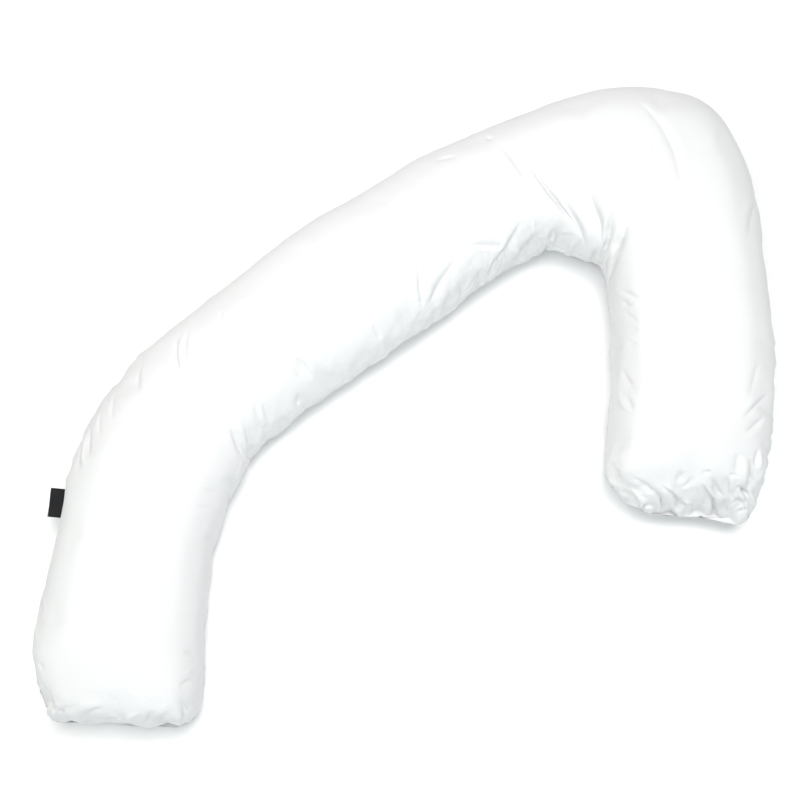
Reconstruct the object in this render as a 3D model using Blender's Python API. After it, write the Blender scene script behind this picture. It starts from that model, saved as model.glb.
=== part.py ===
"""Seven-shaped body pillow, lying on a flat surface: a long curved leg, a sharp bend and a short hook.

Two cloth panels are sewn together all round and stuffed, which makes one filled solid. A woven label
is folded double and caught in the outer seam. Metres, +Z up, the origin on the surface under the
middle of the pillow's bounding box.
"""

import math
from collections import namedtuple

import bmesh
import bpy
from mathutils import Vector

MM = 0.001

# The filled shape in millimetres. Each row is one slice across the pillow, from the foot of the long
# leg, round the bend, to the end of the hook. The slice runs from the outer seam to the inner seam.
# Crown and seam are heights, the outer lip is the flat cloth between the outer seam's edge and the
# filling, and step is the distance between the mesh's slices from this row on.
Slice = namedtuple("Slice", "outer_x outer_y inner_x inner_y crown seam outer_lip step")
SLICES = [
    #     outer seam   inner seam   crown seam lip step
    Slice(-564, -533, -357, -538, 150, 66, 5, 9),     # foot seam
    Slice(-587, -503, -335, -508, 165, 68, 28, 9),    # empty corner of cloth at its widest
    Slice(-598, -469, -331, -472, 176, 72, 16, 9),
    Slice(-602, -435, -331, -440, 184, 77, 5, 12),
    Slice(-594, -377, -328, -384, 190, 82, 3, 25),
    Slice(-581, -310, -325, -320, 193, 84, 3, 25),
    Slice(-571, -250, -319, -264, 193, 85, 3, 25),
    Slice(-564, -185, -307, -220, 192, 85, 3, 25),    # long leg starts to curve
    Slice(-553, -121, -296, -188, 192, 85, 3, 25),
    Slice(-529, -54, -284, -163, 191, 85, 3, 25),
    Slice(-488, 14, -270, -136, 191, 85, 3, 25),
    Slice(-428, 83, -247, -103, 192, 85, 3, 25),
    Slice(-345, 153, -181, -44, 194, 86, 3, 25),
    Slice(-260, 224, -97, 20, 196, 86, 3, 25),
    Slice(-173, 290, -21, 77, 196, 86, 3, 25),
    Slice(-91, 341, 47, 123, 194, 86, 3, 25),
    Slice(5, 404, 128, 182, 190, 85, 3, 20),
    Slice(87, 444, 189, 220, 185, 84, 3, 11),         # bend starts
    Slice(177, 483, 235, 242, 180, 82, 3, 11),
    Slice(269, 518, 267, 234, 183, 82, 3, 11),
    Slice(356, 539, 287, 228, 190, 83, 3, 11),
    Slice(443, 536, 302, 221, 196, 84, 3, 11),
    Slice(518, 497, 315, 208, 199, 85, 3, 11),        # corner of the bend
    Slice(568, 426, 325, 190, 200, 86, 3, 11),
    Slice(589, 342, 329, 166, 199, 86, 3, 20),        # hook starts
    Slice(594, 265, 332, 138, 198, 86, 3, 25),
    Slice(599, 185, 334, 104, 197, 86, 3, 25),
    Slice(601, 105, 334, 64, 196, 86, 3, 25),
    Slice(603, 25, 331, 10, 196, 86, 3, 25),
    Slice(594, -54, 322, -50, 193, 84, 3, 12),
    Slice(586, -103, 316, -104, 186, 80, 4, 9),
    Slice(572, -155, 321, -160, 168, 74, 9, 9),
    Slice(537, -208, 389, -207, 150, 68, 5, 9),       # hook seam
]

# How the ends close: the filling rounds off to the end seam over these lengths.
FOOT_ROUND = 92 * MM
HOOK_ROUND = 84 * MM
END_STEPS = (2.5 * MM, 7 * MM)      # places of the mesh's first and last slices, from the end seam

TOP_FACES = 20          # faces across each panel
UNDER_FACES = 12
SEAM_THICK = 2.4 * MM   # both panels, flat together at the seam
INNER_LIP = 3 * MM      # flat cloth between the filling and the inner seam's edge
CROWN_POWER = 2.15      # 2 is an ellipse, more is squarer
BELLY_POWER = 2.7
BELLY_DROP = 1.10       # without the surface under it, the belly would hang this much lower

# Main folds of the top panel in millimetres. Each is a trough that fades along its line.
Fold = namedtuple("Fold", "x1 y1 x2 y2 half_width depth")
FOLDS = [
    Fold(309, 216, 206, 365, 15, 17),       # inside of the bend, the deepest first
    Fold(303, 226, 249, 320, 10, 8),
    Fold(313, 220, 303, 338, 12, 9),
    Fold(321, 216, 343, 305, 9, 6),
    Fold(526, -206, 386, -112, 12, 10),     # gathers of the hook's end
    Fold(521, -208, 426, -125, 10, 8),
    Fold(527, -204, 473, -116, 10, 9),
    Fold(533, -202, 509, -112, 9, 8),
    Fold(547, -192, 547, -104, 8, 6),
    Fold(-539, -528, -575, -472, 9, 7),     # tucks of the foot's end
    Fold(-489, -532, -481, -488, 9, 5),
    Fold(-371, -525, -391, -482, 10, 6),
]

# Woven label, folded double, caught in the outer seam of the long leg.
LABEL_AT = 331 * MM     # from the foot seam, along the middle of the pillow
LABEL_WIDTH = 47 * MM
LABEL_REACH = 25 * MM
LABEL_LAYER = 0.6 * MM
LABEL_GAP = 0.5 * MM
LABEL_TURN = 8          # faces round its fold
CLEARANCE = 0.3 * MM


def clear_scene():
    for obj in list(bpy.data.objects):
        bpy.data.objects.remove(obj)


def cloth(name, colour, roughness):
    material = bpy.data.materials.new(name)
    material.use_nodes = True
    shader = material.node_tree.nodes["Principled BSDF"]
    shader.inputs["Base Color"].default_value = (*colour, 1.0)
    shader.inputs["Roughness"].default_value = roughness
    shader.inputs["Metallic"].default_value = 0.0
    return material


def middle(row):
    return Vector(((row.outer_x + row.inner_x) / 2, (row.outer_y + row.inner_y) / 2)) * MM


def row_lengths():
    """Distance along the middle of the pillow from the foot seam to each row."""
    lengths = [0.0]
    for before, after in zip(SLICES, SLICES[1:]):
        lengths.append(lengths[-1] + (middle(after) - middle(before)).length)
    return lengths


LENGTHS = row_lengths()
TOTAL = LENGTHS[-1]


def row_before(at):
    return max(k for k in range(len(LENGTHS) - 1) if LENGTHS[k] <= at)


def smooth(values, at):
    """Cubic curve through the rows' values, at a distance along the pillow."""
    i = row_before(at)
    span = LENGTHS[i + 1] - LENGTHS[i]
    part = (at - LENGTHS[i]) / span

    def slope(k):
        low, high = max(k - 1, 0), min(k + 1, len(values) - 1)
        return (values[high] - values[low]) / (LENGTHS[high] - LENGTHS[low])

    square, cube = part**2, part**3
    return (
        (2 * cube - 3 * square + 1) * values[i]
        + (cube - 2 * square + part) * span * slope(i)
        + (3 * square - 2 * cube) * values[i + 1]
        + (cube - square) * span * slope(i + 1)
    )


def slice_at(at):
    return Slice(*(smooth([row[k] for row in SLICES], at) * MM for k in range(len(SLICES[0]))))


def fullness(at):
    """How far the filling opens the two panels: 0 at either end seam, 1 along the pillow."""
    near = min(at / FOOT_ROUND, (TOTAL - at) / HOOK_ROUND, 1.0)
    return math.sqrt(max(0.0, 1 - (1 - near) ** 2))


def places():
    """Distances of the mesh's slices from the foot seam."""
    found = [0.0, *END_STEPS]
    while found[-1] < TOTAL:
        found.append(found[-1] + SLICES[row_before(found[-1])].step * MM)
    tail = [TOTAL - step for step in reversed(END_STEPS)] + [TOTAL]
    return [at for at in found if at < tail[0] - END_STEPS[0]] + tail


def arc(count, power):
    """Across (-1 to 1) and height (0 to 1) of each point of half a flattened ring."""
    points = []
    for k in range(count + 1):
        angle = math.pi * k / count
        across = -math.copysign(abs(math.cos(angle)) ** (2 / power), math.cos(angle))
        points.append((across, abs(math.sin(angle)) ** (2 / power)))
    return points


def section(at):
    """The closed outline of one slice: top panel, inner lip, underside, outer lip."""
    row = slice_at(at)
    full = fullness(at)
    outer = Vector((row.outer_x, row.outer_y, 0))
    inner = Vector((row.inner_x, row.inner_y, 0))
    inwards = (inner - outer).normalized()
    filled_from = outer + inwards * row.outer_lip
    filled_to = inner - inwards * INNER_LIP
    over, under = row.seam + SEAM_THICK / 2, row.seam - SEAM_THICK / 2

    def point(across, height):
        return filled_from.lerp(filled_to, (across + 1) / 2) + Vector((0, 0, height))

    def tip(seam_point, height):
        return seam_point + Vector((0, 0, height))

    ring = [point(a, over + (row.crown - over) * full * h) for a, h in arc(TOP_FACES, CROWN_POWER)]
    ring += [tip(inner, over), tip(inner, under)]
    for a, h in reversed(arc(UNDER_FACES, BELLY_POWER)):
        ring.append(point(a, max(0.0, under - under * BELLY_DROP * full * h)))
    return ring + [tip(outer, under), tip(outer, over)]


def fold_drop(where):
    """How far the folds draw in a point of the top panel, given its place in plan."""
    drop = 0.0
    for fold in FOLDS:
        start, end = Vector((fold.x1, fold.y1)) * MM, Vector((fold.x2, fold.y2)) * MM
        line = end - start
        share = max(0.0, min(1.0, (where - start).dot(line) / line.length_squared))
        away = (where - start - line * share).length / (fold.half_width * MM)
        if away < 1:
            drop = max(drop, fold.depth * MM * (1 - share) ** 0.7 * math.cos(away * math.pi / 2) ** 2)
    return drop


def draw_in_folds(bm, top_rings):
    """Moves the top panel's points inwards along their normals where a fold runs."""
    bm.normal_update()
    moves = []
    for ring, full in top_rings:
        for vert in ring[2:TOP_FACES - 1]:
            moves.append((vert, vert.normal * -fold_drop(vert.co.xy) * full))
    for vert, move in moves:
        vert.co += move


def build_pillow(material):
    """Lofts the slices by extruding the first outline along the pillow, and closes both ends."""
    bm = bmesh.new()
    first = [bm.verts.new(co) for co in section(0.0)]
    edges = [bm.edges.new(pair) for pair in zip(first, first[1:] + first[:1])]
    bmesh.ops.contextual_create(bm, geom=edges)
    ring, top_rings = first, []
    for at in places()[1:]:
        made = bmesh.ops.extrude_edge_only(bm, edges=edges)["geom"]
        new_verts = {v for v in made if isinstance(v, bmesh.types.BMVert)}
        edges = [e for e in made if isinstance(e, bmesh.types.BMEdge) and set(e.verts) <= new_verts]
        ring = [next(e.other_vert(v) for e in v.link_edges if e.other_vert(v) in new_verts) for v in ring]
        for vert, co in zip(ring, section(at)):
            vert.co = co
        top_rings.append((ring, fullness(at)))
    bmesh.ops.contextual_create(bm, geom=edges)
    bmesh.ops.recalc_face_normals(bm, faces=bm.faces)
    draw_in_folds(bm, top_rings)
    return finish_mesh("pillow", bm, material)


def label_outline():
    """Side view of the folded label, along its reach and up: out, round the fold and back."""
    inside = LABEL_GAP / 2
    outside = inside + LABEL_LAYER
    bend = LABEL_REACH - outside
    angles = [math.pi * (0.5 - k / LABEL_TURN) for k in range(LABEL_TURN + 1)]
    outer_line = [(bend + outside * math.cos(a), outside * math.sin(a)) for a in angles]
    inner_line = [(bend + inside * math.cos(a), inside * math.sin(a)) for a in reversed(angles)]
    return [(0.0, outside), *outer_line, (0.0, -outside), (0.0, -inside), *inner_line, (0.0, inside)]


def seam_point(at):
    row = slice_at(at)
    return Vector((row.outer_x, row.outer_y, row.seam))


def build_label(material):
    """Extrudes the label's side view along the seam, just clear of the seam's bulge."""
    low, high = (seam_point(LABEL_AT + side * LABEL_WIDTH / 2) for side in (-1, 1))
    along = Vector(((high - low).x, (high - low).y, 0)).normalized()
    outwards = Vector((-along.y, along.x, 0))
    centre = (low + high) / 2
    seam_run = [seam_point(LABEL_AT + LABEL_WIDTH * k / 8) for k in range(-4, 5)]
    bulge = max(outwards.dot(point - centre) for point in seam_run)
    base = centre + outwards * (bulge + CLEARANCE) - along * LABEL_WIDTH / 2

    bm = bmesh.new()
    verts = [bm.verts.new(base + outwards * reach + Vector((0, 0, up))) for reach, up in label_outline()]
    face = bm.faces.new(verts)
    made = bmesh.ops.extrude_face_region(bm, geom=[face])["geom"]
    moved = [v for v in made if isinstance(v, bmesh.types.BMVert)]
    bmesh.ops.translate(bm, verts=moved, vec=along * LABEL_WIDTH)
    bmesh.ops.recalc_face_normals(bm, faces=bm.faces)
    return finish_mesh("side_label", bm, material)


def finish_mesh(name, bm, material):
    mesh = bpy.data.meshes.new(name)
    bm.to_mesh(mesh)
    bm.free()
    mesh.materials.append(material)
    mesh.shade_smooth()
    mesh.set_sharp_from_angle(angle=math.radians(50))
    obj = bpy.data.objects.new(name, mesh)
    bpy.context.scene.collection.objects.link(obj)
    return obj


def centre_on_origin(pillow, others):
    """Shifts everything so that the pillow's bounding box is centred over the origin."""
    points = [v.co for v in pillow.data.vertices]
    shift = Vector((
        -(min(p.x for p in points) + max(p.x for p in points)) / 2,
        -(min(p.y for p in points) + max(p.y for p in points)) / 2,
        0,
    ))
    for obj in (pillow, *others):
        for vert in obj.data.vertices:
            vert.co += shift


def main():
    clear_scene()
    pillow = build_pillow(cloth("white_cotton", (0.90, 0.90, 0.89), 0.62))
    label = build_label(cloth("black_woven_ribbon", (0.012, 0.012, 0.012), 0.75))
    centre_on_origin(pillow, [label])


main()
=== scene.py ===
import math
from collections import namedtuple

import bmesh
import bpy
import numpy as np
from mathutils import Matrix, Vector, kdtree, noise
from mathutils.bvhtree import BVHTree


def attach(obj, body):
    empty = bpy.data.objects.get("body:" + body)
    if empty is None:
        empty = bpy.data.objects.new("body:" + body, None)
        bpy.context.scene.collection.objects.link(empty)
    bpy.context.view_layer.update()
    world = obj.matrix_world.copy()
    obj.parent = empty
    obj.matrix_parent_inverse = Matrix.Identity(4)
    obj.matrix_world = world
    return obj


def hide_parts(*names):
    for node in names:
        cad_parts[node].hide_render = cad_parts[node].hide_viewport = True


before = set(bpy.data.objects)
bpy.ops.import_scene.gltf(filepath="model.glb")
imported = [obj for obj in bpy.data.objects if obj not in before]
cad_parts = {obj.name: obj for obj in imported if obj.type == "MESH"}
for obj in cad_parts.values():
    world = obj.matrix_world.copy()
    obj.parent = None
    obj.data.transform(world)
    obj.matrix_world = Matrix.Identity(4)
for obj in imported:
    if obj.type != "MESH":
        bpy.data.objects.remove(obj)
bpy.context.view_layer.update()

MM = 0.001

# ---------------------------------------------------------------------------------------------
# The pillow's pattern, in millimetres. Each row is one slice across it, from the foot of the long
# leg, round the bend, to the end of the hook: where it meets the outer and the inner seam, the
# heights of its crown and of those seams, and the flat cloth outside the filling on either side.
# Square is 2 where the crown comes down to that seam as an ellipse, and more where it stays flat
# for longer and its side is steeper. Step is the distance to the cloth's next slice.
# ---------------------------------------------------------------------------------------------
Slice = namedtuple("Slice", "outer_x outer_y inner_x inner_y crown outer_up inner_up "
                            "outer_lip inner_lip outer_square inner_square step")
SLICES = [
    #     outer seam   inner seam  crown  seams up  lips   squares    step
    Slice(-568, -537, -376, -547, 150, 58, 38, 4, 2, 4.3, 4, 4.5),     # foot seam
    Slice(-578, -521, -352, -534, 158, 58, 32, 14, 2, 4.5, 4.6, 4.5),
    Slice(-586, -505, -341, -511, 166, 58, 26, 26, 2, 4.7, 5, 4.5),    # empty corner of cloth at its widest
    Slice(-597, -469, -336, -471, 178, 64, 22, 18, 2, 4.9, 5.6, 4.5),
    Slice(-597, -435, -337, -438, 185, 70, 20, 9, 2, 4.9, 6, 5.2),
    Slice(-584, -377, -337, -381, 190, 78, 20, 3, 2, 4.8, 6.4, 7),
    Slice(-574, -310, -334, -316, 193, 80, 20, 3, 1, 4.6, 6.6, 7),
    Slice(-564, -250, -328, -259, 193, 82, 22, 3, 0.8, 4.2, 6.4, 7),
    Slice(-559, -185, -314, -214, 192, 84, 28, 3, 0.5, 3.7, 5.8, 6.6),  # long leg starts to curve
    Slice(-549, -121, -302, -181, 192, 85, 37, 3, 0.5, 3, 5.2, 6.6),
    Slice(-528, -54, -288, -157, 191, 85, 46, 3, 0.5, 2.65, 4.4, 6.6),
    Slice(-486, 13, -275, -128, 191, 85, 54, 3, 0.5, 2.5, 3.7, 6.6),
    Slice(-424, 79, -252, -96, 192, 85, 60, 3, 0.5, 2.6, 3, 6.6),
    Slice(-342, 149, -184, -38, 194, 86, 62, 3, 0.5, 2.7, 2.65, 6.6),
    Slice(-258, 221, -97, 23, 196, 86, 72, 3, 0.5, 2.8, 2.55, 6.6),
    Slice(-172, 288, -20, 78, 196, 86, 78, 3, 0.5, 2.8, 2.55, 6.6),
    Slice(-90, 339, 48, 127, 194, 86, 74, 3, 0.5, 2.8, 2.65, 6),
    Slice(6, 399, 130, 193, 190, 85, 62, 3, 0.6, 2.9, 3.4, 5.5),
    Slice(88, 439, 189, 232, 185, 84, 62, 3, 1, 3.2, 4.1, 4.8),        # bend starts
    Slice(177, 478, 238, 251, 180, 82, 62, 3, 1.8, 3.5, 4.3, 4.8),
    Slice(269, 512, 271, 245, 183, 82, 60, 3, 1.2, 3.6, 4.2, 4.8),
    Slice(356, 528, 291, 237, 190, 83, 62, 3, 1, 3.7, 4.2, 4.8),
    Slice(441, 522, 305, 230, 196, 84, 64, 3, 0.6, 3.6, 4.2, 4.8),
    Slice(513, 491, 322, 223, 199, 85, 62, 3, 0.5, 3.6, 4.3, 5),       # corner of the bend
    Slice(558, 420, 333, 202, 200, 86, 56, 3, 0.5, 3.6, 5.2, 6),
    Slice(579, 341, 337, 176, 199, 86, 50, 3, 0.5, 3.7, 6.4, 7),       # hook starts
    Slice(588, 265, 339, 147, 198, 86, 45, 3, 0.6, 3.8, 6.8, 7),
    Slice(593, 185, 342, 113, 197, 86, 40, 3, 0.8, 3.8, 7, 7),
    Slice(597, 105, 343, 74, 196, 86, 36, 3, 1, 3.8, 7, 6.8),
    Slice(595, 25, 341, 20, 196, 86, 30, 3, 1, 3.7, 6.6, 6.4),
    Slice(589, -54, 333, -40, 194, 82, 28, 3, 1.2, 3.5, 6, 4.8),
    Slice(584, -106, 325, -96, 188, 76, 34, 3, 1.5, 3.3, 4.8, 4.4),
    Slice(571, -163, 326, -155, 174, 68, 48, 5, 1.5, 3, 3.4, 4.4),
    Slice(551, -214, 389, -207, 150, 60, 56, 2, 1.5, 2.6, 2.5, 4.4),   # hook seam
]
END_LIP = 1.5 * MM      # flat cloth outside the filling at both ends
FOOT_ROUND = 27 * MM    # the filling rounds off towards the end seams over these lengths
HOOK_ROUND = 72 * MM
FOOT_SQUARE = 2.8       # square, as in the table: the foot is blunt, the gathered end nearer to a cone
HOOK_SQUARE = 1.6
END_STEPS = (1.5 * MM, 4 * MM, 7 * MM, 10.5 * MM)    # the cloth's first slices from an end seam
TOP_FACES = 38          # the cloth's faces across the upper panel, the under panel and the outer lip
UNDER_FACES = 9
LIP_FACES = 2
SEAM_THICK = 1.2 * MM
UNDER_SQUARE = 2.7      # square of the under panel, on both sides
UNDER_DROP = 1.10       # it hangs this much of the seam's height, so the floor presses it flat
END_REACH = 26 * MM     # how far from an end seam the cloth follows that seam's waves
FOOT_WAVES = Vector((9, 11))     # size of those waves in millimetres, lengthways and up
HOOK_WAVES = Vector((16, 14))
WANDER_REACH = 0.28     # how far up its panel the cloth follows its seam's wandering, as a share of half

# ---------------------------------------------------------------------------------------------
# Where the two seams leave their even line, in millimetres. Nick: the seam is drawn in, or stands
# out if negative, by the depth, over the length, at a distance along the pillow.
# ---------------------------------------------------------------------------------------------
OUTER, INNER = -1, 1
Nick = namedtuple("Nick", "side along length depth")
NICKS = [
    Nick(OUTER, 30, 30, 2.5),
    Nick(OUTER, 108, 26, -2.5),
    Nick(OUTER, 148, 24, 2.5),
    Nick(OUTER, 500, 26, 3),
    Nick(OUTER, 664, 22, -3),
    Nick(OUTER, 1160, 30, 2),
    Nick(OUTER, 1398, 20, 3),       # three flats with kinks between them, round the bend's corner
    Nick(OUTER, 1440, 20, 3),
    Nick(OUTER, 1566, 22, 4),
    Nick(OUTER, 1900, 24, 2.5),
    Nick(OUTER, 1944, 18, -3),
    Nick(INNER, 588, 16, 2.5),
    Nick(INNER, 674, 18, 2),
    Nick(INNER, 806, 16, 2.5),
    Nick(INNER, 843, 16, -2.5),
    Nick(INNER, 1221, 16, 5),       # notch where the long leg's cloth meets the bend's
    Nick(INNER, 1290, 30, -4),      # and the lobe of cloth beside it
    Nick(INNER, 1405, 22, 3),
]

# ---------------------------------------------------------------------------------------------
# Spare cloth. Each row is a stretch of a seam, in millimetres along the pillow, how far up the
# cloth from that seam it reaches, and how much longer and wider the cloth is there than the
# filling needs, in percent.
# ---------------------------------------------------------------------------------------------
Spare = namedtuple("Spare", "side start end reach percent")
SPARES = [
    Spare(OUTER, -50, 2100, 60, 0.8),
    Spare(INNER, -50, 2100, 70, 1.2),
    Spare(OUTER, -50, 70, 150, 2.6),      # foot end
    Spare(INNER, -50, 60, 150, 2.6),
    Spare(INNER, 90, 420, 75, 2.0),
    Spare(INNER, 440, 720, 115, 2.8),     # inside of the long leg's curve
    Spare(INNER, 720, 900, 100, 2.2),
    Spare(INNER, 900, 1240, 135, 3.4),    # crumpled side towards the bend
    Spare(INNER, 1560, 1870, 95, 2.6),    # inside of the hook
    Spare(OUTER, 110, 200, 90, 1.8),
    Spare(OUTER, 350, 590, 120, 2.2),
    Spare(OUTER, 1040, 1180, 110, 1.8),
    Spare(OUTER, 1520, 1620, 100, 1.8),
    Spare(OUTER, 1740, 1950, 130, 2.6),
    Spare(OUTER, 1925, 2100, 150, 4.2),   # gathered end of the hook
    Spare(INNER, 1925, 2100, 150, 4.2),
]
SPARE_FADE = 40         # each stretch starts and stops over this many millimetres
MOST_SPARE = 4.5        # percent
BEND_PINCH = Vector((305, 225, 120)) * MM     # the bend bunches its cloth round this place
BEND_REACH = 140 * MM
BEND_SPARE = 4.0        # percent

# How far the cloth's small unevenness stands out or in.
LUMPS = 2.4 * MM         # of the filling
PUCKERS = 4.0 * MM       # small folds that run away from a seam, where cloth is spare
CRUMPLES = 6.0 * MM      # between them
SEAM_PUCKERS = 1.6 * MM  # drawn up by the stitches, and gone SEAM_REACH from the seam
SEAM_REACH = 12 * MM
LEAN = (-0.5, 0.8)       # how far the small folds lean along the outer and the inner seam as they rise
FOOT_GATHERS = 2.5 * MM  # folds gathered by the end seams, gone GATHER_REACH from them
HOOK_GATHERS = 5.0 * MM
GATHER_REACH = 75 * MM
CREASE_STEPS = 13        # places along a crease
REFINE_REACH = 1.5       # the cloth is finer this many widths from a crease

LABEL_AT = 339 * MM      # along the pillow; ribbon folded double and caught in the outer seam
LABEL_WIDTH = 47 * MM
LABEL_REACH = 28 * MM    # out of the seam, and LABEL_TUCK inside it
LABEL_TUCK = 3 * MM
LABEL_THICK = 0.5 * MM
LABEL_GAP = 0.5 * MM     # between its two layers
LABEL_CURL = 0.9 * MM    # its free end waves up and down by this much
LABEL_COLUMNS = 20

CAMERA_ON = Vector((-0.0196, -0.0216, 0.09))
CAMERA_AWAY = 2.2        # metres
CAMERA_RAISED = 76       # degrees
LENS, SENSOR = 60, 36

# Soft light from overhead and from low down on three sides, with one small lamp above the crook.
Sun = namedtuple("Sun", "name away angle strength colour")
SUNS = [
    Sun("overhead", (0.07, 0.14, 1), 26, 1.81, (1, 0.985, 0.97)),
    Sun("from_front", (0, -0.91, 0.42), 60, 0.94, (0.85, 0.97, 1)),
    Sun("from_left", (-0.91, 0, 0.42), 60, 0.49, (1, 1, 0.88)),
    Sun("from_right", (0.91, 0, 0.42), 60, 0.16, (0.92, 0.86, 1)),
]
SKY_COLOUR, SKY_STRENGTH = (0.95, 0.99, 1, 1), 0.38
LAMP_AT, LAMP_SIZE, LAMP_WATTS = (-0.08, -0.02, 1.35), 0.6, 7.6

# The stuffed cloth before it is let go under pressure is this much smaller, and then swells.
START_INSET = 2.5 * MM
PRESSURE = 4.0
SWELL_FRAMES = 20
SWELL_CAP = 5 * MM       # no place swells farther than this

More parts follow.
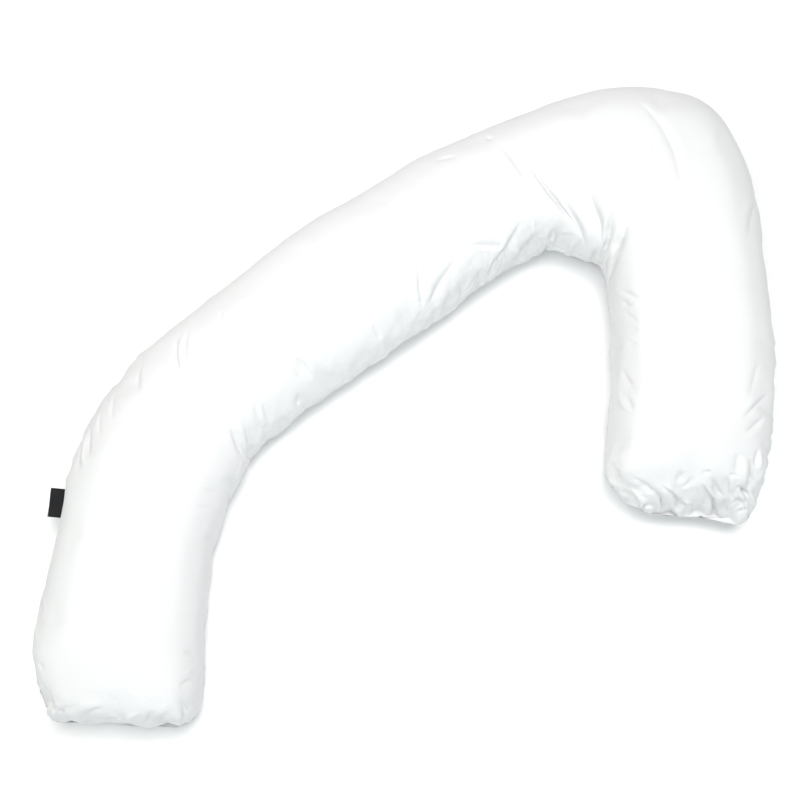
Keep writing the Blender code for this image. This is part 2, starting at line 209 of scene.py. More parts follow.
# ---------------------------------------------------------------------------------------------
# Creases of the upper panel, in millimetres. Each starts at a distance along the pillow and up the
# cloth from its seam, and runs straight to along_to and up_to, but for the bow, to its left if
# positive. Width is half its breadth, and depth is negative where the cloth stands up instead.
# Ridge is how far the cloth beside it stands up, on its left, or on its right if negative. It is
# deepest at the share root of its length.
# ---------------------------------------------------------------------------------------------
Crease = namedtuple("Crease", "side along up along_to up_to bow width depth ridge root")
CREASES = [
    #      side along  up    to   up  bow width depth ridge root
    # Fan on the inside of the bend, sharpest first
    Crease(INNER, 1374, 48, 1213, 185, 6, 3.4, 10.0, -3.0, 0.50),
    Crease(INNER, 1346, 52, 1244, 129, 0, 6.0, 11.0, -2.5, 0.40),
    Crease(INNER, 1418, 62, 1314, 160, 2, 8.5, 14.0, -3.0, 0.40),
    Crease(INNER, 1450, 64, 1399, 142, 3, 6.5, 11.0, -2.5, 0.35),
    Crease(INNER, 1482, 72, 1457, 132, 0, 10.0, 8.0, -1.0, 0.35),
    Crease(INNER, 1233, 137, 1251, 150, 0, 3.0, 1.6, 0.5, 0.30),
    # Crumpled inner side of the long leg, from the bend down
    Crease(INNER, 1219, 32, 1224, 67, 0, 4.5, 2.2, 0.5, 0.20),
    Crease(INNER, 1305, 62, 1227, 66, -1, 5.0, 2.4, -2.0, 0.60),
    Crease(INNER, 1178, 132, 1217, 118, 1, 3.2, 2.4, 1.0, 0.50),
    Crease(INNER, 1186, 116, 1207, 109, 0, 3.0, 1.8, 0.8, 0.50),
    Crease(INNER, 1177, 63, 1183, 97, 1, 4.0, -2.4, 0.3, 0.40),
    Crease(INNER, 1064, 60, 1153, 98, -5, 6.0, 4.4, 3.0, 0.60),
    Crease(INNER, 1016, 131, 1108, 80, -1, 6.0, 3.2, 2.6, 0.60),
    Crease(INNER, 1063, 97, 1075, 79, 0, 3.2, 2.2, 0.6, 0.50),
    Crease(INNER, 942, 62, 1022, 110, 0, 7.0, 4.6, 3.0, 0.45),
    Crease(INNER, 931, 58, 963, 137, 0, 4.2, 3.8, 2.0, 0.45),
    Crease(INNER, 928, 104, 931, 130, 1, 3.6, -2.2, 0.3, 0.40),
    Crease(INNER, 841, 54, 842, 90, 0, 4.4, 3.0, 1.0, 0.30),
    Crease(INNER, 859, 119, 861, 137, 0, 3.6, 1.8, 0.5, 0.50),
    Crease(INNER, 706, 62, 706, 119, -1, 6.0, 5.5, -3.0, 0.60),
    Crease(INNER, 688, 92, 688, 123, 0, 4.2, -3.2, 0.3, 0.50),
    Crease(INNER, 663, 38, 672, 62, 0, 4.4, 3.2, 1.0, 0.30),
    Crease(INNER, 607, 42, 617, 92, 0, 4.4, 3.4, 1.5, 0.50),
    Crease(INNER, 590, 38, 606, 103, 0, 5.4, 3.6, 1.0, 0.50),
    Crease(INNER, 510, 26, 571, 104, -1, 5.6, -4.0, 0.3, 0.50),
    Crease(INNER, 503, 40, 544, 102, 0, 4.6, 4.6, 1.5, 0.40),
    Crease(INNER, 390, 76, 381, 106, 1, 3.6, 2.2, 0.8, 0.40),
    Crease(INNER, 352, 74, 344, 110, 1, 3.6, 2.2, 0.8, 0.40),
    Crease(INNER, 306, 80, 324, 97, 0, 3.6, 2.0, 0.6, 0.50),
    # Outer side of the long leg
    Crease(OUTER, 126, 100, 142, 70, 0, 3.8, -1.8, 0.3, 0.50),
    Crease(OUTER, 168, 101, 193, 68, -1, 3.8, -2.2, 0.3, 0.50),
    Crease(OUTER, 411, 64, 375, 106, -3, 4.6, 4.6, 1.2, 0.40),
    Crease(OUTER, 419, 76, 378, 118, -5, 4.0, -3.4, 0.3, 0.50),
    Crease(OUTER, 435, 70, 396, 113, -3, 5.4, 5.0, 1.2, 0.40),
    Crease(OUTER, 456, 78, 420, 120, -3, 3.2, 2.6, -1.6, 0.45),
    Crease(OUTER, 478, 84, 446, 128, -2, 3.4, 2.8, -1.6, 0.40),
    Crease(OUTER, 524, 92, 494, 142, -5, 4.4, 3.0, 1.4, 0.45),
    Crease(OUTER, 582, 106, 546, 174, -5, 3.8, 5.2, 3.2, 0.45),
    Crease(OUTER, 602, 106, 560, 176, -7, 3.8, 4.8, -3.2, 0.45),
    Crease(OUTER, 659, 118, 651, 145, -1, 3.4, 2.4, 0.6, 0.40),
    Crease(OUTER, 1079, 101, 1115, 120, 0, 4.0, 2.6, 0.8, 0.50),
    Crease(OUTER, 1170, 100, 1176, 120, 1, 3.8, 2.6, 1.4, 0.40),
    # Faint arcs either side of the bend's top
    Crease(OUTER, 1178, 132, 1195, 209, 6, 6.0, 4.6, 0.8, 0.60),
    Crease(OUTER, 1362, 136, 1487, 247, 20, 5.5, 6.0, 1.0, 0.60),
    Crease(OUTER, 1405, 209, 1422, 244, 0, 6.0, 1.0, 0.3, 0.50),
    # Outer side of the hook
    Crease(OUTER, 1574, 74, 1620, 131, 0, 8.0, 4.4, -2.4, 0.40),
    Crease(OUTER, 1855, 147, 1788, 130, -1, 3.8, 2.4, 0.5, 0.50),
    Crease(OUTER, 1841, 102, 1887, 156, 0, 4.6, 4.2, -2.2, 0.45),
    Crease(OUTER, 1872, 100, 1908, 147, 2, 4.6, 4.6, 2.6, 0.55),
    # Inner side of the hook
    Crease(INNER, 1594, 70, 1663, 120, 0, 4.0, 4.0, -2.4, 0.45),
    Crease(INNER, 1632, 80, 1665, 103, 0, 4.0, 3.4, 1.0, 0.45),
    Crease(INNER, 1664, 84, 1712, 116, 0, 4.0, 3.0, 0.8, 0.45),
    Crease(INNER, 1709, 90, 1727, 116, -1, 3.6, 2.2, 0.6, 0.50),
    Crease(INNER, 1734, 74, 1753, 105, 0, 3.8, 2.4, 0.6, 0.50),
    Crease(INNER, 1785, 70, 1848, 116, -1, 4.6, 3.6, 1.0, 0.45),
    Crease(INNER, 1828, 74, 1882, 109, -4, 4.0, -3.6, 0.3, 0.50),
    Crease(INNER, 1847, 91, 1882, 111, -1, 4.0, 3.2, 0.6, 0.50),
    # Gathered end of the hook, from its inner corner to its outer one
    Crease(INNER, 1972, 14, 1960, 70, 0, 8.0, 4.0, 0.5, 0.20),
    Crease(INNER, 2010, 20, 1983, 44, 0, 7.0, 4.5, 1.0, 0.20),
    Crease(INNER, 2024, 30, 1985, 61, 3, 4.0, -6.5, 0.3, 0.30),
    Crease(INNER, 2026, 50, 1974, 86, -2, 7.5, 10.0, -3.0, 0.10),
    Crease(INNER, 2028, 66, 2007, 87, -3, 4.5, -4.0, 0.3, 0.30),
    Crease(INNER, 2028, 79, 2000, 104, -1, 6.0, 4.0, 0.5, 0.20),
    Crease(INNER, 2026, 90, 1984, 112, 1, 3.6, 5.0, -4.0, 0.45),
    Crease(INNER, 1987, 132, 1971, 175, 2, 8.0, 4.0, 0.5, 0.40),
    Crease(INNER, 1991, 133, 1976, 178, -5, 3.6, 5.0, -2.0, 0.50),
    Crease(INNER, 2030, 88, 2004, 126, -1, 5.0, 4.0, 0.5, 0.20),
    Crease(OUTER, 2032, 74, 1986, 160, -2, 3.8, 11.0, -3.0, 0.10),
    Crease(OUTER, 2014, 92, 1980, 168, 3, 5.0, -5.5, 0.3, 0.40),
    Crease(OUTER, 2012, 88, 1975, 161, 2, 4.0, 5.0, 0.5, 0.40),
    Crease(OUTER, 1976, 169, 1977, 156, 6, 3.6, 4.0, 1.5, 0.50),
    Crease(OUTER, 2026, 66, 2006, 95, 0, 6.5, 5.5, 0.5, 0.30),
    Crease(OUTER, 1998, 106, 1974, 135, -1, 3.8, 5.5, -3.5, 0.45),
    Crease(OUTER, 1975, 136, 1974, 115, 2, 3.4, 3.6, -2.5, 0.45),
    Crease(OUTER, 1976, 110, 1940, 144, 2, 6.5, 5.0, 1.0, 0.45),
    Crease(OUTER, 1993, 84, 1943, 131, 1, 9.0, -6.5, 0.3, 0.45),
    Crease(OUTER, 1996, 74, 1946, 117, -4, 4.6, 7.5, 1.0, 0.45),
    Crease(OUTER, 1998, 64, 1986, 103, -2, 3.6, 6.0, 3.5, 0.30),
    Crease(OUTER, 2015, 76, 2003, 68, 4, 3.4, 3.5, 2.0, 0.40),
    Crease(OUTER, 2022, 58, 2009, 46, 2, 3.4, 3.5, 2.0, 0.40),
    Crease(OUTER, 2004, 90, 2002, 74, 1, 3.4, 3.5, 2.0, 0.50),
    Crease(OUTER, 2018, 56, 2003, 80, 1, 4.0, 3.0, 1.5, 0.40),
    Crease(OUTER, 1962, 94, 1930, 110, 2, 4.0, 5.0, 0.5, 0.45),
    Crease(OUTER, 1961, 80, 1928, 101, 3, 5.0, -5.0, 0.3, 0.50),
    # Foot of the long leg: the fold beside its empty corner, and tucks at the end seam
    Crease(OUTER, 12, 88, 73, 88, 1, 6.0, 6.0, -2.5, 0.30),
    Crease(OUTER, 78, 113, 90, 98, 0, 4.0, 3.0, 0.8, 0.50),
    Crease(OUTER, 10, 92, 29, 124, 0, 5.0, 5.0, -1.5, 0.20),
    Crease(OUTER, 8, 132, 19, 182, 3, 6.0, 4.0, 1.5, 0.30),
    Crease(OUTER, 2, 140, 13, 178, -3, 5.0, -3.5, 0.3, 0.30),
    Crease(INNER, 1, 150, 14, 164, 0, 4.6, 4.6, 2.5, 0.20),
    Crease(INNER, 6, 130, 19, 145, 1, 5.0, -3.0, 0.3, 0.30),
    Crease(INNER, 6, 98, 19, 126, -3, 5.5, 3.5, 0.8, 0.30),
    Crease(INNER, 3, 74, 26, 102, -3, 6.0, 4.0, 1.0, 0.30),
    Crease(INNER, 18, 54, 40, 93, -2, 5.5, 5.5, 2.0, 0.30),
    Crease(INNER, 27, 42, 41, 98, -3, 4.6, 4.0, 1.2, 0.40),
    Crease(INNER, 53, 98, 69, 80, 2, 4.0, 3.0, 0.8, 0.40),
    Crease(INNER, 75, 96, 88, 74, -1, 4.0, -2.5, 0.3, 0.40),
    Crease(INNER, 104, 68, 111, 105, 0, 4.2, 3.4, 1.2, 0.40),
]


def smooth(values, at):
    """Cubic curve through the rows' values, at a distance along the pillow."""
    i = row_before(at)
    span = LENGTHS[i + 1] - LENGTHS[i]
    part = (at - LENGTHS[i]) / span

    def slope(k):
        low, high = max(k - 1, 0), min(k + 1, len(values) - 1)
        return (values[high] - values[low]) / (LENGTHS[high] - LENGTHS[low])

    square, cube = part**2, part**3
    return (
        (2 * cube - 3 * square + 1) * values[i]
        + (cube - 2 * square + part) * span * slope(i)
        + (3 * square - 2 * cube) * values[i + 1]
        + (cube - square) * span * slope(i + 1)
    )


def middle(row):
    return Vector(((row.outer_x + row.inner_x) / 2, (row.outer_y + row.inner_y) / 2)) * MM


def row_lengths():
    lengths = [0.0]
    for before, after in zip(SLICES, SLICES[1:]):
        lengths.append(lengths[-1] + (middle(after) - middle(before)).length)
    return lengths


def row_before(at):
    return max(k for k in range(len(LENGTHS) - 1) if LENGTHS[k] <= at)


LENGTHS = row_lengths()
TOTAL = LENGTHS[-1]


def slice_at(at):
    return Slice(*(smooth([row[k] for row in SLICES], at) * MM for k in range(len(SLICES[0]))))


def fullness(at):
    """How far the filling opens the two panels: 0 at either end seam, 1 along the pillow."""
    foot = min(max((at - END_LIP) / FOOT_ROUND, 0.0), 1.0)
    hook = min(max((TOTAL - END_LIP - at) / HOOK_ROUND, 0.0), 1.0)
    opened = 1.0
    for share, square in ((foot, FOOT_SQUARE), (hook, HOOK_SQUARE)):
        opened *= (1 - (1 - share) ** square) ** (1 / square)
    return opened


def places():
    """Distances of the cloth's slices from the foot seam."""
    found = [0.0, *END_STEPS]
    while found[-1] < TOTAL:
        found.append(found[-1] + SLICES[row_before(found[-1])].step * MM)
    tail = [TOTAL - step for step in reversed(END_STEPS)] + [TOTAL]
    return [at for at in found if at < tail[0] - END_STEPS[0]] + tail


def spread(count, finer):
    """Places from -1 to 1, closer together towards both seams."""
    even = np.linspace(-1, 1, count + 1)
    return even * (1 + finer) - finer * even ** 3


def arc(where, squares, aspect):
    """Points of half a flattened ring, from where they are along it: across (-1 to 1) and height (0 to 1)."""
    angles = np.linspace(0, math.pi, 361)
    square = np.where(angles < math.pi / 2, squares[0], squares[1])
    across = -np.sign(np.cos(angles)) * np.abs(np.cos(angles)) ** (2 / square)
    height = np.abs(np.sin(angles)) ** (2 / square)
    run = np.concatenate([[0], np.cumsum(np.hypot(np.diff(across), np.diff(height) * aspect))])
    at = (where + 1) / 2 * run[-1]
    return list(zip(np.interp(at, run, across), np.interp(at, run, height)))


OVER = spread(TOP_FACES, 0.26)        # across the upper panel, as shares of its cloth
UNDER = spread(UNDER_FACES, 0.10)
UNDER_ARC = arc(UNDER, (UNDER_SQUARE, UNDER_SQUARE), 0.65)


def seam_wander(at, side):
    """How far a seam is drawn in, and up, at a distance along: its nicks, and its small waves."""
    drawn = sum(
        nick.depth * MM * math.exp(-(((at / MM - nick.along) / (0.5 * nick.length)) ** 2))
        for nick in NICKS if nick.side == side)
    wave = Vector((at * 22, side * 7.3, 0.4))
    drawn += 1.3 * MM * noise.noise(wave) + 1.2 * MM * noise.noise(wave * 2.7)
    return drawn, 4.5 * MM * noise.noise(wave * 0.8 + Vector((3, 9, 2))) + 2 * MM * noise.noise(wave * 2.1)


def end_wander(at, outwards, along):
    """How the cloth near an end follows that seam's waves, lengthways and up."""
    near = min(at, TOTAL - at)
    if near > 4 * END_REACH:
        return Vector()
    size, row = (FOOT_WAVES, 5) if at < TOTAL / 2 else (HOOK_WAVES, 11.4)
    wave = Vector((outwards * 30, row, 0.7))
    away = size.x * MM * (noise.noise(wave) + 0.6 * noise.noise(wave * 2.6))
    up = size.y * MM * (noise.noise(wave * 0.7 + Vector((4, 1, 8))) + 0.6 * noise.noise(wave * 2.2))
    return (along * away + Vector((0, 0, up))) * math.exp(-((near / END_REACH) ** 2))


def section(at):
    """The closed outline of one slice: upper panel, inner lip, under panel, outer lip."""
    row = slice_at(at)
    full = fullness(at)
    outer = Vector((row.outer_x, row.outer_y, 0))
    inner = Vector((row.inner_x, row.inner_y, 0))
    inwards = (inner - outer).normalized()
    along = Vector((inwards.y, -inwards.x, 0))
    filled_from = outer + inwards * row.outer_lip
    filled_to = inner - inwards * row.inner_lip
    outer_in, outer_up = seam_wander(at, OUTER)
    inner_in, inner_up = seam_wander(at, INNER)
    outer_shift = inwards * outer_in + Vector((0, 0, outer_up))
    inner_shift = Vector((0, 0, inner_up)) - inwards * inner_in
    half = Vector((0, 0, SEAM_THICK / 2))
    outer_seam, inner_seam = Vector((0, 0, row.outer_up)), Vector((0, 0, row.inner_up))
    top = row.crown - half.z - START_INSET

    def point(across, even, lift):
        """The cloth follows its seam's wandering less and less away from it."""
        flat = filled_from.lerp(filled_to, (across + 1) / 2)
        seam = outer_seam.lerp(inner_seam, (across + 1) / 2)
        shift = outer_shift * math.exp(-((1 + even) / WANDER_REACH) ** 2)
        shift += inner_shift * math.exp(-((1 - even) / WANDER_REACH) ** 2)
        shift += end_wander(at, (flat - outer).length, along)
        return flat + seam + Vector((0, 0, lift(seam.z))) + shift

    over = zip(arc(OVER, (row.outer_square / MM, row.inner_square / MM), 0.83), OVER)
    ring = [point(a, e, lambda z: half.z + (top - z) * full * h) for (a, h), e in over]
    ring += [inner + inner_shift + inner_seam + half, inner + inner_shift + inner_seam - half]
    for (a, h), e in zip(reversed(UNDER_ARC), reversed(UNDER)):
        under = point(a, e, lambda z: -half.z - (z - half.z) * UNDER_DROP * full * h)
        under.z = max(0.0, under.z)
        ring.append(under)
    lip = [
        filled_from.lerp(outer, k / LIP_FACES) + outer_shift + outer_seam for k in range(1, LIP_FACES + 1)]
    ring += [p - half for p in lip] + [p + half for p in reversed(lip)]
    return ring


def next_ring(bm, edges, ring, points):
    """Extrudes a ring of edges once, and sets the new vertices at these points, in the old ring's order."""
    made = bmesh.ops.extrude_edge_only(bm, edges=edges)["geom"]
    fresh = {v for v in made if isinstance(v, bmesh.types.BMVert)}
    edges = [e for e in made if isinstance(e, bmesh.types.BMEdge) and set(e.verts) <= fresh]
    ring = [next(e.other_vert(v) for e in v.link_edges if e.other_vert(v) in fresh) for v in ring]
    for vert, co in zip(ring, points):
        vert.co = co
    return edges, ring


def first_ring(bm, points):
    """A closed ring of edges through these points, with a face that closes the end."""
    ring = [bm.verts.new(co) for co in points]
    edges = [bm.edges.new(pair) for pair in zip(ring, ring[1:] + ring[:1])]
    bmesh.ops.contextual_create(bm, geom=edges)
    return edges, ring


def stuffed_cloth():
    """Extrudes the first slice along the pillow, and closes both ends.

    Marks on each vertex what the seam holds, how far along the pillow it is, where it is across its
    panel, from -1 at the outer seam to 1 at the inner one, and 1 for the upper panel, -1 for the lower.
    """
    bm = bmesh.new()
    held, along, across, panel = (
        bm.verts.layers.float.new(n) for n in ("held", "along", "across", "panel"))
    marks = [(a, 1) for a in OVER] + [(1, 1), (1, -1)] + [(a, -1) for a in reversed(UNDER)]
    marks += [(-1, -1)] * LIP_FACES + [(-1, 1)] * LIP_FACES
    edges, ring = first_ring(bm, section(0.0))
    rings = [ring]
    where = places()
    for at in where[1:]:
        edges, ring = next_ring(bm, edges, ring, section(at))
        rings.append(ring)
    bmesh.ops.contextual_create(bm, geom=edges)
    bmesh.ops.recalc_face_normals(bm, faces=bm.faces)
    for number, ring in enumerate(rings):
        for place, vert in enumerate(ring):
            in_seam = place in (0, TOP_FACES) or place > TOP_FACES and (
                place <= TOP_FACES + 3 or place >= TOP_FACES + 3 + UNDER_FACES)
            at_end = number < 2 or number > len(rings) - 3
            vert[held] = 1.0 if in_seam or at_end or vert.co.z < 1 * MM else 0.0
            vert[along] = where[number]
            vert[across], vert[panel] = marks[place]
    return bm


def mesh_object(name, bm):
    mesh = bpy.data.meshes.new(name)
    bm.to_mesh(mesh)
    bm.free()
    obj = bpy.data.objects.new(name, mesh)
    bpy.context.scene.collection.objects.link(obj)
    return obj


def coordinates(mesh):
    found = np.empty(len(mesh.vertices) * 3)
    mesh.vertices.foreach_get("co", found)
    return found.reshape(-1, 3)


def normals(mesh):
    found = np.empty(len(mesh.vertices) * 3)
    mesh.vertex_normals.foreach_get("vector", found)
    return found.reshape(-1, 3)


def mark(mesh, name):
    found = np.empty(len(mesh.vertices))
    mesh.attributes[name].data.foreach_get("value", found)
    return found


def put(mesh, points):
    mesh.vertices.foreach_set("co", points.ravel())
    mesh.update()


def lay_out(mesh):
    """Gives the cloth a UV map in metres of cloth: along the pillow, and across from the middle."""
    along, across, panel = (mark(mesh, n) for n in ("along", "across", "panel"))
    flat = np.stack([along, across * np.interp(along, GIRTH_AT, GIRTHS) / 2 * panel], axis=1)
    corners = np.empty(len(mesh.loops), dtype=int)
    mesh.loops.foreach_get("vertex_index", corners)
    mesh.uv_layers.new(name="cloth").data.foreach_set("uv", flat[corners].ravel())


def bake_modifiers(obj):
    """Makes what the modifiers show the object's own mesh."""
    depsgraph = bpy.context.evaluated_depsgraph_get()
    shown = bpy.data.meshes.new_from_object(obj.evaluated_get(depsgraph), depsgraph=depsgraph)
    old = obj.data
    obj.modifiers.clear()
    obj.data = shown
    shown.name = old.name
    bpy.data.meshes.remove(old)


def girth(at):
    """Length of the upper panel's cloth from seam to seam."""
    ring = section(at)[:TOP_FACES + 1]
    return sum((b - a).length for a, b in zip(ring, ring[1:]))


GIRTH_AT = np.linspace(0, TOTAL, 201)
GIRTHS = np.array([girth(at) for at in GIRTH_AT])


def smoothstep(value):
    value = np.clip(value, 0, 1)
    return value * value * (3 - 2 * value)


def spare_cloth(points, along, across, at_bend=BEND_SPARE):
    """Percent of spare cloth at each point."""
    half = np.interp(along, GIRTH_AT, GIRTHS) / 2 / MM
    spare = np.zeros(len(points))
    for row in SPARES:
        up = half * (1 - across * row.side)
        inside = smoothstep((along / MM - row.start) / SPARE_FADE + 0.5)
        inside = inside * smoothstep((row.end - along / MM) / SPARE_FADE + 0.5)
        spare = np.maximum(spare, row.percent * inside * smoothstep(1.25 * (1 - up / row.reach)))
    bend = 1 - np.linalg.norm(points - np.array(BEND_PINCH), axis=1) / BEND_REACH
    return np.maximum(spare, at_bend * smoothstep(bend))


def swell(obj):
    """Lets the filling press the cloth out, held at its seams and its base."""
    before = coordinates(obj.data)
    held = mark(obj.data, "held")
    spare = spare_cloth(before, mark(obj.data, "along"), mark(obj.data, "across"))
    pins = obj.vertex_groups.new(name="held")
    pins.add([int(k) for k in np.nonzero(held > 0.5)[0]], 1.0, "REPLACE")
    taut = obj.vertex_groups.new(name="taut")
    for number, percent in enumerate(spare):
        taut.add([number], 1 - percent / MOST_SPARE, "REPLACE")
    modifier = obj.modifiers.new("swell", "CLOTH")
    cloth = modifier.settings
    cloth.quality = 5
    cloth.mass = 0.3
    cloth.tension_stiffness = cloth.compression_stiffness = 15
    cloth.shear_stiffness = 5
    cloth.bending_stiffness = 1.5
    cloth.use_pressure = True
    cloth.uniform_pressure_force = PRESSURE
    cloth.vertex_group_mass = "held"
    cloth.vertex_group_shrink = "taut"
    cloth.shrink_min = -MOST_SPARE / 100
    cloth.shrink_max = 0.0
    cloth.effector_weights.gravity = 0.0
    modifier.collision_settings.use_collision = False
    modifier.collision_settings.use_self_collision = False
    scene = bpy.context.scene
    for number in range(1, SWELL_FRAMES + 1):
        scene.frame_set(number)
    bake_modifiers(obj)
    scene.frame_set(1)
    moves = coordinates(obj.data) - before
    far = np.linalg.norm(moves, axis=1)
    moves *= np.minimum(1.0, SWELL_CAP / np.maximum(far, 1e-9))[:, None]
    put(obj.data, before + moves)
    obj.vertex_groups.clear()


def seam_run(side):
    """Lengths of one seam up to each of the distances GIRTH_AT."""
    rows = [slice_at(at) for at in GIRTH_AT]
    spots = [(r.outer_x, r.outer_y) if side == OUTER else (r.inner_x, r.inner_y) for r in rows]
    return np.concatenate([[0], np.cumsum(np.hypot(*np.diff(np.array(spots), axis=0).T))])


def puckers_at(run, up, place, seed, lean):
    """Small folds that run away from a seam: up is the distance from it, and run is along it."""
    lean += 1.2 * noise.noise(place / (90 * MM))
    ray = Vector(((run - lean * up) / (24 * MM), up / (60 * MM), seed))
    ray.x += 0.5 * noise.noise(place / (50 * MM))
    return 0.9 * noise.noise(ray) + 0.4 * (1 - 3 * abs(noise.noise(ray * 1.15 + Vector((0, 0, 7)))))


def unevenness(obj):
    """How far the cloth stands out or in: lumps of the filling, and small puckers where cloth is spare."""
    points, along, across = coordinates(obj.data), mark(obj.data, "along"), mark(obj.data, "across")
    panel = mark(obj.data, "panel")
    spare = spare_cloth(points, along, across, 0) / MOST_SPARE
    half = np.interp(along, GIRTH_AT, GIRTHS) / 2
    up = (1 - np.abs(across)) * half
    outer_run, inner_run = (np.interp(along, GIRTH_AT, seam_run(side)) for side in (OUTER, INNER))
    run = np.where(across < 0, outer_run, inner_run)
    from_end = np.minimum(along, TOTAL - along)
    gathered = np.where(along < TOTAL / 2, FOOT_GATHERS, HOOK_GATHERS)
    near_end = smoothstep(1.15 - from_end / GATHER_REACH)
    gathered *= near_end * smoothstep(from_end / (10 * MM)) * smoothstep(up / (25 * MM))
    lumps, puckers, gathers, crumples = (np.zeros(len(points)) for _ in range(4))
    for number, point in enumerate(points):
        at = Vector(point)
        lumps[number] = noise.noise(at / (150 * MM)) + 0.4 * noise.noise(at / (60 * MM))
        lumps[number] += 0.25 * noise.noise(at / (30 * MM))
        if spare[number] > 0.02:
            seed = 3.1 * math.copysign(1, across[number]) + 11 * panel[number]
            crumples[number] = noise.noise(at / (36 * MM)) + 0.5 * noise.noise(at / (17 * MM))
            puckers[number] = puckers_at(run[number], up[number], at, seed, LEAN[across[number] > 0])
        if gathered[number] > 0:
            sideways = across[number] * half[number] * 1.3
            gathers[number] = puckers_at(sideways, from_end[number], at, 5 * panel[number], 0)
    sewn = np.array([
        noise.noise(Vector((r / (9 * MM), a * 3, p))) for r, a, p in zip(run, np.sign(across), panel)])
    close = smoothstep(3 * up / (40 * MM)) * smoothstep(from_end / (30 * MM))
    slack = obj.data.attributes.new("slack", "FLOAT", "POINT")
    slack.data.foreach_set("value", (spare * close + 0.5 * near_end) * (panel > 0))
    return (LUMPS * lumps * smoothstep(up / (40 * MM)) * smoothstep(from_end / (40 * MM))
            + (PUCKERS * puckers + CRUMPLES * crumples) * spare * close + gathers * gathered
            + SEAM_PUCKERS * np.exp(-((up / SEAM_REACH) ** 2)) * sewn)


def crease_paths(obj):
    """Each crease as points on the cloth, from its row."""
    mesh = obj.data
    points, along, across = coordinates(mesh), mark(mesh, "along"), mark(mesh, "across")
    upper = np.nonzero(mark(mesh, "panel") > 0.9)[0]
    half = np.interp(along, GIRTH_AT, GIRTHS) / 2
    tree = kdtree.KDTree(len(upper))
    for number in upper:
        tree.insert((along[number], across[number] * half[number], 0), number)
    tree.balance()
    cloth = BVHTree.FromPolygons([Vector(p) for p in points], [tuple(p.vertices) for p in mesh.polygons])
    above = Vector((0, 0, 0.4))

    def place(at, up, side):
        at = min(max(at * MM, 0), TOTAL)
        wide = np.interp(at, GIRTH_AT, GIRTHS) / 2
        return Vector(points[tree.find((at, side * (wide - up * MM), 0))[1]])

    paths = []
    for row in CREASES:
        start, end = place(row.along, row.up, row.side), place(row.along_to, row.up_to, row.side)
        left = Vector((start.y - end.y, end.x - start.x, 0)).normalized()
        path = []
        for t in np.linspace(0, 1, CREASE_STEPS):
            spot = start.lerp(end, t) + left * 4 * t * (1 - t) * row.bow * MM
            hit = cloth.ray_cast(spot + above, -above)[0]
            if hit is None or abs(hit.z - spot.z) > 40 * MM:
                hit = cloth.find_nearest(spot)[0]
            path.append(hit)
        paths.append(np.array(path))
    return paths


def from_path(points, path):
    """How far each point is from a path, its offset, which way the path runs there, and its share."""
    nearest = np.full(len(points), math.inf)
    offset, run, share = np.zeros((len(points), 3)), np.zeros((len(points), 3)), np.zeros(len(points))
    for k, (a, b) in enumerate(zip(path[:-1], path[1:])):
        t = np.clip((points - a) @ (b - a) / max((b - a) @ (b - a), 1e-12), 0, 1)
        away = points - (a + t[:, None] * (b - a))
        far = np.linalg.norm(away, axis=1)
        closer = far < nearest
        nearest[closer], offset[closer], run[closer] = far[closer], away[closer], b - a
        share[closer] = (k + t[closer]) / (len(path) - 1)
    return nearest, offset, run, share


def close_to(points, path, reach):
    return np.nonzero(np.all((points > path.min(0) - reach) & (points < path.max(0) + reach), axis=1))[0]


def refine(obj, rows, paths):
    """Halves the cloth's faces around the creases."""
    bm = bmesh.new()
    bm.from_mesh(obj.data)
    bm.faces.ensure_lookup_table()
    centres = np.array([f.calc_center_median() for f in bm.faces])
    chosen = set()
    for row, path in zip(rows, paths):
        reach = REFINE_REACH * row.width * MM
        near = close_to(centres, path, reach)
        chosen.update(near[from_path(centres[near], path)[0] < reach])
    edges = {e for k in chosen for e in bm.faces[k].edges}
    bmesh.ops.subdivide_edges(bm, edges=list(edges), cuts=1, use_grid_fill=True)
    bm.to_mesh(obj.data)
    bm.free()


def fold_cloth(obj, rows, paths):
    """Presses the creases into the cloth, and raises the cloth beside each."""
    points, outward = coordinates(obj.data), normals(obj.data)
    pressed, raised = np.zeros(len(points)), np.zeros(len(points))
    for row, path in zip(rows, paths):
        near = close_to(points, path, 5 * row.width * MM)
        if not len(near):
            continue
        far, offset, run, share = from_path(points[near], path)
        left = np.sign(np.einsum("ij,ij->i", np.cross(outward[near], run), offset))
        rising = smoothstep(share / max(row.root, 0.001))
        falling = 1 - smoothstep((share - row.root) / (1 - row.root))
        strength = np.where(share < row.root, rising ** 0.7, falling ** 0.45)
        width = row.width * MM * (0.6 + 0.4 * strength)
        beside = left * far * math.copysign(1, row.ridge) - 2.0 * width
        ridge = strength * abs(row.ridge) * MM * np.exp(-((beside / (1.3 * width)) ** 2))
        groove = strength * row.depth * MM * np.exp(-((far / width) ** (1.25 if row.depth > 0 else 1.6)))
        pressed[near] = np.maximum(pressed[near], groove)
        raised[near] = np.maximum(raised[near], np.maximum(ridge, -groove))
    put(obj.data, points + outward * (raised - pressed)[:, None])


def seam_spot(at):
    """Where the outer seam's edge is, with its wandering."""
    row = slice_at(at)
    outer, inner = Vector((row.outer_x, row.outer_y, 0)), Vector((row.inner_x, row.inner_y, 0))
    drawn, up = seam_wander(at, OUTER)
    return outer + (inner - outer).normalized() * drawn + Vector((0, 0, row.outer_up + up))


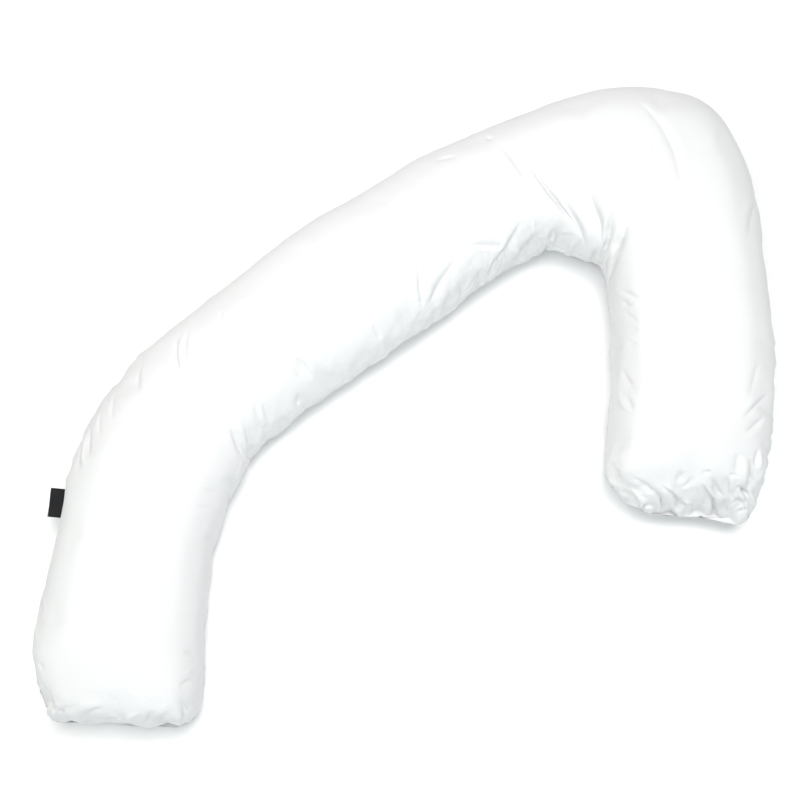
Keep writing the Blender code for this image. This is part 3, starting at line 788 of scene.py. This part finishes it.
def folded_label():
    """A length of ribbon folded double, with its two ends in the seam."""
    low, high = (seam_spot(LABEL_AT + side * LABEL_WIDTH / 2) for side in (-1, 1))
    along = (high - low).normalized() * LABEL_WIDTH
    low = seam_spot(LABEL_AT) - along / 2
    high = low + along
    outwards = Vector((-along.y, along.x, 0)).normalized()
    middle_up, thick = LABEL_GAP / 2 + LABEL_THICK / 2, LABEL_THICK / 2
    bend = LABEL_REACH - middle_up
    reaches = np.linspace(-LABEL_TUCK, bend, 9)
    turns = np.linspace(math.pi / 2, -math.pi / 2, 9)[1:-1]

    def side(height):
        """One face of the ribbon, from the seam out, round the fold and back."""
        line = [(r, height) for r in reaches]
        line += [(bend + height * math.cos(a), height * math.sin(a)) for a in turns]
        return line + [(r, -height) for r in reversed(reaches)]

    outline = side(middle_up + thick) + side(middle_up - thick)[::-1]
    bm = bmesh.new()
    columns = np.linspace(0, 1, LABEL_COLUMNS + 1)
    edges = ring = None
    for share in columns:
        base = low.lerp(high, share)
        curl = LABEL_CURL * (math.cos(2.4 * math.pi * share) + 0.6 * share)
        points = [base + outwards * reach + Vector((0, 0, up + (max(reach, 0) / LABEL_REACH) ** 2 * curl))
                  for reach, up in outline]
        edges, ring = next_ring(bm, edges, ring, points) if ring else first_ring(bm, points)
    bmesh.ops.contextual_create(bm, geom=edges)
    bmesh.ops.recalc_face_normals(bm, faces=bm.faces)
    return mesh_object("seam_label", bm)


def build_camera():
    data = bpy.data.cameras.new("camera")
    data.lens = LENS
    data.sensor_width = SENSOR
    elevation = math.radians(CAMERA_RAISED)
    away = Vector((0, -math.cos(elevation), math.sin(elevation)))
    camera = bpy.data.objects.new("camera", data)
    camera.matrix_world = Matrix.LocRotScale(
        CAMERA_ON + away * CAMERA_AWAY, away.to_track_quat("Z", "Y"), None)
    bpy.context.scene.collection.objects.link(camera)
    bpy.context.scene.camera = camera


def linear(code):
    """Linear colour of an sRGB hex code."""
    parts = [int(code[k:k + 2], 16) / 255 for k in (0, 2, 4)]
    return (*(p / 12.92 if p <= 0.04045 else ((p + 0.055) / 1.055) ** 2.4 for p in parts), 1)


def add_node(tree, kind, inputs=(), **settings):
    """Adds a node; each input is a value, or another node's output to link."""
    node = tree.nodes.new(kind)
    for name, value in settings.items():
        setattr(node, name, value)
    for name, value in dict(inputs).items():
        if isinstance(value, bpy.types.NodeSocket):
            tree.links.new(value, node.inputs[name])
        else:
            node.inputs[name].default_value = value
    return node


def new_material(name, code, roughness, specular=0.5):
    material = bpy.data.materials.new(name)
    material.use_nodes = True
    shader = material.node_tree.nodes["Principled BSDF"]
    shader.inputs["Base Color"].default_value = linear(code)
    shader.inputs["Roughness"].default_value = roughness
    shader.inputs["Specular IOR Level"].default_value = specular
    return material


def weave(tree, uv, pitch):
    """Height, 0 to 1, of a plain weave of threads this far apart, in metres."""
    scale = math.pi / (10 * pitch)
    threads = [
        add_node(tree, "ShaderNodeTexWave", {"Vector": uv, "Scale": scale}, bands_direction=way)
        for way in ("X", "Y")]
    crossed = {k: thread.outputs["Fac"] for k, thread in enumerate(threads)}
    return add_node(tree, "ShaderNodeMath", crossed, operation="MAXIMUM").outputs[0]


def percale():
    """Bleached cotton percale: a close plain weave, calendered smooth between rollers.

    That leaves it matt white with only a low, broad sheen. Its small dry creases, too fine for the
    mesh, are a bump where the cloth is slack.
    """
    material = new_material("white_cotton_percale", "D7D7D7", 0.55, 0.3)
    tree = material.node_tree
    shader = tree.nodes["Principled BSDF"]
    uv = add_node(tree, "ShaderNodeTexCoord").outputs["UV"]
    # real threads are 0.25 mm apart; drawn at 1.5 mm so that they still show as a faint grain
    grain = add_node(tree, "ShaderNodeBump", {
        "Strength": 0.12, "Distance": 0.1 * MM, "Height": weave(tree, uv, 1.5 * MM)})
    slack = add_node(tree, "ShaderNodeAttribute", attribute_name="slack").outputs["Fac"]
    bent = add_node(tree, "ShaderNodeMapping", {"Vector": uv, "Rotation": (0, 0, 0.7), "Scale": (52, 32, 1)})
    creased = add_node(tree, "ShaderNodeTexNoise", {
        "Vector": bent.outputs[0], "Scale": 1.0, "Detail": 1.5, "Roughness": 0.5, "Distortion": 0.8})
    height = add_node(tree, "ShaderNodeMath", {0: creased.outputs["Fac"], 1: slack}, operation="MULTIPLY")
    dry = add_node(tree, "ShaderNodeBump", {
        "Strength": 1.0, "Distance": 3.6 * MM, "Height": height.outputs[0], "Normal": grain.outputs[0]})
    tree.links.new(dry.outputs[0], shader.inputs["Normal"])
    return material


def ribbon():
    """Black polyester ribbon, woven with a ribbed face and folded under a hot blade.

    Dark and nearly matt, with a faint shine across the ribs.
    """
    material = new_material("black_woven_ribbon", "1C1C1E", 0.6, 0.12)
    tree = material.node_tree
    place = add_node(tree, "ShaderNodeTexCoord").outputs["Object"]
    # ribs are 0.5 mm apart in the real ribbon; drawn at 1.2 mm to show at all
    ribs = add_node(tree, "ShaderNodeTexWave", {"Vector": place, "Scale": math.pi / (10 * 1.2 * MM)},
                    bands_direction="Y")
    bump = add_node(tree, "ShaderNodeBump", {
        "Strength": 0.3, "Distance": 0.15 * MM, "Height": ribs.outputs["Fac"]})
    tree.links.new(bump.outputs[0], tree.nodes["Principled BSDF"].inputs["Normal"])
    return material


def build_floor():
    bm = bmesh.new()
    bmesh.ops.create_grid(bm, x_segments=1, y_segments=1, size=6)
    floor = mesh_object("floor", bm)
    # uncoated backdrop paper, rolled off its tube: an even matt white with no sheen
    floor.data.materials.append(new_material("white_paper_backdrop", "F2F2F2", 0.9, 0.1))


def build_lights():
    world = bpy.data.worlds.new("world")
    world.use_nodes = True
    world.node_tree.nodes["Background"].inputs["Color"].default_value = SKY_COLOUR
    world.node_tree.nodes["Background"].inputs["Strength"].default_value = SKY_STRENGTH
    bpy.context.scene.world = world
    for row in SUNS:
        data = bpy.data.lights.new(row.name, "SUN")
        data.angle = math.radians(row.angle)
        data.energy = row.strength
        data.color = row.colour
        light = bpy.data.objects.new(row.name, data)
        light.rotation_euler = Vector(row.away).to_track_quat("Z", "Y").to_euler()
        bpy.context.scene.collection.objects.link(light)
    data = bpy.data.lights.new("lamp", "AREA")
    data.size = LAMP_SIZE
    data.energy = LAMP_WATTS
    lamp = bpy.data.objects.new("lamp", data)
    lamp.location = LAMP_AT
    lamp.visible_camera = False
    bpy.context.scene.collection.objects.link(lamp)
    bpy.context.scene.view_settings.view_transform = "Standard"


# The cover: sewn and filled, settled on the floor, then creased.
cover = mesh_object("pillow_cover", stuffed_cloth())
swell(cover)
sub = cover.modifiers.new("smooth", "SUBSURF")
sub.levels = sub.render_levels = 1
bake_modifiers(cover)
settled = coordinates(cover.data) + normals(cover.data) * unevenness(cover)[:, None]
settled[:, 2] = np.maximum(settled[:, 2], 0)      # pressed flat where it meets the floor
put(cover.data, settled)
paths = crease_paths(cover)
refine(cover, CREASES, paths)
fold_cloth(cover, CREASES, paths)
cover.data.shade_smooth()
cover.data.materials.clear()
cover.data.materials.append(percale())
lay_out(cover.data)
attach(cover, "root")
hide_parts("pillow")

label = folded_label()
label.data.shade_smooth()
label.data.materials.append(ribbon())
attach(label, "root")
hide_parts("side_label")

build_camera()
build_floor()
build_lights()
